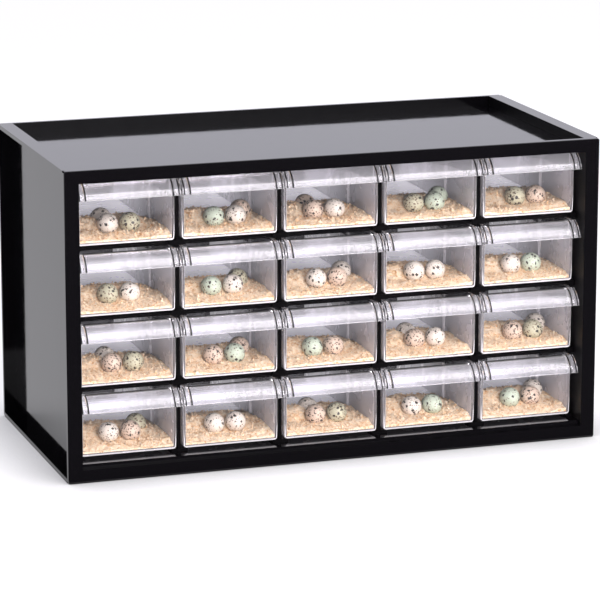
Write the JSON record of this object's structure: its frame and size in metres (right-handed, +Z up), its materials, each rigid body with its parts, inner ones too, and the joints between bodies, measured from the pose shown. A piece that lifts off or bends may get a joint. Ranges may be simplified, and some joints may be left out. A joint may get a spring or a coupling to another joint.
{
  "type": "egg collection cabinet",
  "caption": "Black moulded desk-top cabinet with a grid of clear sliding drawers, each holding speckled birds' eggs on fine wood shavings.",
  "frame": {"origin": "centre of the footprint, on the surface the cabinet stands on", "axes": "+X along the width to the right, +Y from the drawer fronts to the back, +Z up"},
  "size_m": [0.38, 0.186, 0.213],
  "materials": {
    "casing": "gloss moulded black",
    "drawer": "clear crystal moulding",
    "contents": "fine pale shavings with speckled eggs"
  },
  "bodies": {
    "cabinet": {"front_frame": "casing", "rear_frame": "casing", "left_side_panel": "casing", "right_side_panel": "casing", "top_panel": "casing", "floor_panel": "casing", "back_panel": "casing", "shelf_1": "casing", "shelf_2": "casing", "shelf_3": "casing", "partition_1": "casing", "partition_2": "casing", "partition_3": "casing", "partition_4": "casing"},
    "drawer_r1c1": {"drawer_r1c1": "drawer", "contents_r1c1": "contents"},
    "drawer_r1c2": {"drawer_r1c2": "drawer", "contents_r1c2": "contents"},
    "drawer_r1c3": {"drawer_r1c3": "drawer", "contents_r1c3": "contents"},
    "drawer_r1c4": {"drawer_r1c4": "drawer", "contents_r1c4": "contents"},
    "drawer_r1c5": {"drawer_r1c5": "drawer", "contents_r1c5": "contents"},
    "drawer_r2c1": {"drawer_r2c1": "drawer", "contents_r2c1": "contents"},
    "drawer_r2c2": {"drawer_r2c2": "drawer", "contents_r2c2": "contents"},
    "drawer_r2c3": {"drawer_r2c3": "drawer", "contents_r2c3": "contents"},
    "drawer_r2c4": {"drawer_r2c4": "drawer", "contents_r2c4": "contents"},
    "drawer_r2c5": {"drawer_r2c5": "drawer", "contents_r2c5": "contents"},
    "drawer_r3c1": {"drawer_r3c1": "drawer", "contents_r3c1": "contents"},
    "drawer_r3c2": {"drawer_r3c2": "drawer", "contents_r3c2": "contents"},
    "drawer_r3c3": {"drawer_r3c3": "drawer", "contents_r3c3": "contents"},
    "drawer_r3c4": {"drawer_r3c4": "drawer", "contents_r3c4": "contents"},
    "drawer_r3c5": {"drawer_r3c5": "drawer", "contents_r3c5": "contents"},
    "drawer_r4c1": {"drawer_r4c1": "drawer", "contents_r4c1": "contents"},
    "drawer_r4c2": {"drawer_r4c2": "drawer", "contents_r4c2": "contents"},
    "drawer_r4c3": {"drawer_r4c3": "drawer", "contents_r4c3": "contents"},
    "drawer_r4c4": {"drawer_r4c4": "drawer", "contents_r4c4": "contents"},
    "drawer_r4c5": {"drawer_r4c5": "drawer", "contents_r4c5": "contents"}
  },
  "joints": [
    {"name": "slide_r1c1", "type": "slide", "parent": "cabinet", "child": "drawer_r1c1", "axis": [0, -1, 0], "range_m": [0, 0.12]},
    {"name": "slide_r1c2", "type": "slide", "parent": "cabinet", "child": "drawer_r1c2", "axis": [0, -1, 0], "range_m": [0, 0.12]},
    {"name": "slide_r1c3", "type": "slide", "parent": "cabinet", "child": "drawer_r1c3", "axis": [0, -1, 0], "range_m": [0, 0.12]},
    {"name": "slide_r1c4", "type": "slide", "parent": "cabinet", "child": "drawer_r1c4", "axis": [0, -1, 0], "range_m": [0, 0.12]},
    {"name": "slide_r1c5", "type": "slide", "parent": "cabinet", "child": "drawer_r1c5", "axis": [0, -1, 0], "range_m": [0, 0.12]},
    {"name": "slide_r2c1", "type": "slide", "parent": "cabinet", "child": "drawer_r2c1", "axis": [0, -1, 0], "range_m": [0, 0.12]},
    {"name": "slide_r2c2", "type": "slide", "parent": "cabinet", "child": "drawer_r2c2", "axis": [0, -1, 0], "range_m": [0, 0.12]},
    {"name": "slide_r2c3", "type": "slide", "parent": "cabinet", "child": "drawer_r2c3", "axis": [0, -1, 0], "range_m": [0, 0.12]},
    {"name": "slide_r2c4", "type": "slide", "parent": "cabinet", "child": "drawer_r2c4", "axis": [0, -1, 0], "range_m": [0, 0.12]},
    {"name": "slide_r2c5", "type": "slide", "parent": "cabinet", "child": "drawer_r2c5", "axis": [0, -1, 0], "range_m": [0, 0.12]},
    {"name": "slide_r3c1", "type": "slide", "parent": "cabinet", "child": "drawer_r3c1", "axis": [0, -1, 0], "range_m": [0, 0.12]},
    {"name": "slide_r3c2", "type": "slide", "parent": "cabinet", "child": "drawer_r3c2", "axis": [0, -1, 0], "range_m": [0, 0.12]},
    {"name": "slide_r3c3", "type": "slide", "parent": "cabinet", "child": "drawer_r3c3", "axis": [0, -1, 0], "range_m": [0, 0.12]},
    {"name": "slide_r3c4", "type": "slide", "parent": "cabinet", "child": "drawer_r3c4", "axis": [0, -1, 0], "range_m": [0, 0.12]},
    {"name": "slide_r3c5", "type": "slide", "parent": "cabinet", "child": "drawer_r3c5", "axis": [0, -1, 0], "range_m": [0, 0.12]},
    {"name": "slide_r4c1", "type": "slide", "parent": "cabinet", "child": "drawer_r4c1", "axis": [0, -1, 0], "range_m": [0, 0.12]},
    {"name": "slide_r4c2", "type": "slide", "parent": "cabinet", "child": "drawer_r4c2", "axis": [0, -1, 0], "range_m": [0, 0.12]},
    {"name": "slide_r4c3", "type": "slide", "parent": "cabinet", "child": "drawer_r4c3", "axis": [0, -1, 0], "range_m": [0, 0.12]},
    {"name": "slide_r4c4", "type": "slide", "parent": "cabinet", "child": "drawer_r4c4", "axis": [0, -1, 0], "range_m": [0, 0.12]},
    {"name": "slide_r4c5", "type": "slide", "parent": "cabinet", "child": "drawer_r4c5", "axis": [0, -1, 0], "range_m": [0, 0.12]}
  ]
}
